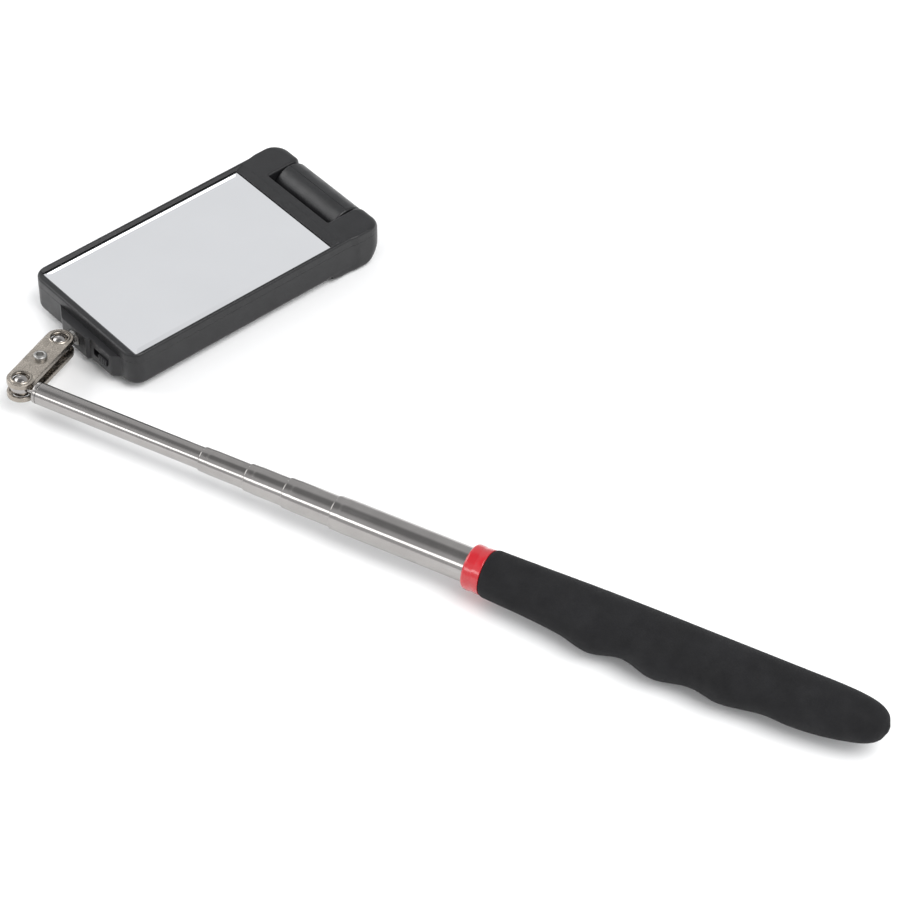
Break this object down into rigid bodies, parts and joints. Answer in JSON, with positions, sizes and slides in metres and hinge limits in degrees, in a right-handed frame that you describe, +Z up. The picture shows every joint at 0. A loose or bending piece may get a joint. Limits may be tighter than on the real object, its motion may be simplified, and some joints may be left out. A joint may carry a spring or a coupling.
{
  "type": "telescoping inspection mirror",
  "caption": "Rectangular mirror head with a tilting lamp barrel, on a double ball joint and a telescoping steel mast with a finger-moulded foam grip.",
  "frame": {"origin": "middle of the bounding box's base, on the surface the mirror lies on, with the mast partly drawn out and the head laid beside it", "axes": "+X along the mast from the ball joint to the grip's butt, +Z up out of the mirror's face, +Y towards the mirror head"},
  "size_m": [0.3575, 0.1653, 0.0218],
  "materials": {
    "foam": "matt black foam",
    "red_plastic": "glossy red",
    "grey_plastic": "natural nylon",
    "nickel": "nickel plated stamping",
    "zinc_steel": "zinc plated",
    "bright_steel": "polished",
    "black_plastic": "fine grained black ABS",
    "mirror": "silvered glass",
    "clear_plastic": "clear acrylic",
    "board": "solder mask",
    "led": "clear epoxy"
  },
  "bodies": {
    "handle": {"grip": "foam", "grip_collar": "red_plastic", "handle_plug": "grey_plastic", "mast_tube_1": "bright_steel"},
    "section_2": {"mast_tube_2": "bright_steel", "guide_bush_2": "grey_plastic"},
    "section_3": {"mast_tube_3": "bright_steel", "guide_bush_3": "grey_plastic"},
    "section_4": {"mast_tube_4": "bright_steel", "guide_bush_4": "grey_plastic"},
    "section_5": {"mast_tube_5": "bright_steel", "guide_bush_5": "grey_plastic"},
    "mast_tip": {"mast_ball": "bright_steel"},
    "link": {"link_plate_top": "nickel", "link_plate_bottom": "nickel", "link_screw": "zinc_steel", "link_nut": "zinc_steel"},
    "stem": {"head_stem": "bright_steel", "stem_retainer": "zinc_steel"},
    "head": {"rear_case": "black_plastic", "front_bezel": "black_plastic", "mirror_glass": "mirror", "mirror_pad": "foam", "mirror_tray": "grey_plastic", "stem_bush": "zinc_steel", "case_screws": "zinc_steel", "battery_door": "black_plastic", "door_screw": "zinc_steel", "coin_cells": "bright_steel", "battery_spring": "nickel", "battery_plate": "nickel", "switch_body": "grey_plastic"},
    "switch": {"switch_knob": "black_plastic"},
    "lamp": {"lamp_barrel_front": "black_plastic", "lamp_barrel_rear": "black_plastic", "lamp_window": "clear_plastic", "lamp_board": "board", "lamp_leds": "led", "lamp_pivots": "zinc_steel"}
  },
  "joints": [
    {"name": "extend_section_2", "type": "slide", "parent": "handle", "child": "section_2", "axis": [-1, 0, 0], "range_m": [-0.0166, 0.1574]},
    {"name": "extend_section_3", "type": "slide", "parent": "section_2", "child": "section_3", "axis": [-1, 0, 0], "range_m": [-0.013, 0.1473]},
    {"name": "extend_section_4", "type": "slide", "parent": "section_3", "child": "section_4", "axis": [-1, 0, 0], "range_m": [-0.016, 0.1308]},
    {"name": "extend_section_5", "type": "slide", "parent": "section_4", "child": "section_5", "axis": [-1, 0, 0], "range_m": [-0.0615, 0.0712]},
    {"name": "mast_ball_swivel", "type": "hinge", "parent": "section_5", "child": "mast_tip", "pos_m": [-0.15345, -0.07069, 0.01198], "axis": [1, 0, 0], "continuous": true},
    {"name": "link_swing", "type": "hinge", "parent": "mast_tip", "child": "link", "pos_m": [-0.15345, -0.07069, 0.01198], "axis": [-0.0096, 0.1271, 0.9918], "range_deg": [-12, 160]},
    {"name": "head_swing", "type": "hinge", "parent": "link", "child": "stem", "pos_m": [-0.15548, -0.04369, 0.0085], "axis": [-0.0096, 0.1271, 0.9918], "range_deg": [-18, 90]},
    {"name": "head_turn", "type": "hinge", "parent": "stem", "child": "head", "pos_m": [-0.15548, -0.04369, 0.0085], "axis": [0.3518, 0.9361, 0], "continuous": true},
    {"name": "lamp_tilt", "type": "hinge", "parent": "head", "child": "lamp", "pos_m": [-0.11361, 0.0677, 0.0092], "axis": [-0.9361, 0.3518, 0], "range_deg": [-90, 45]},
    {"name": "switch_slide", "type": "slide", "parent": "head", "child": "switch", "axis": [-0.9361, 0.3518, 0], "range_m": [0, 0.0034]}
  ]
}
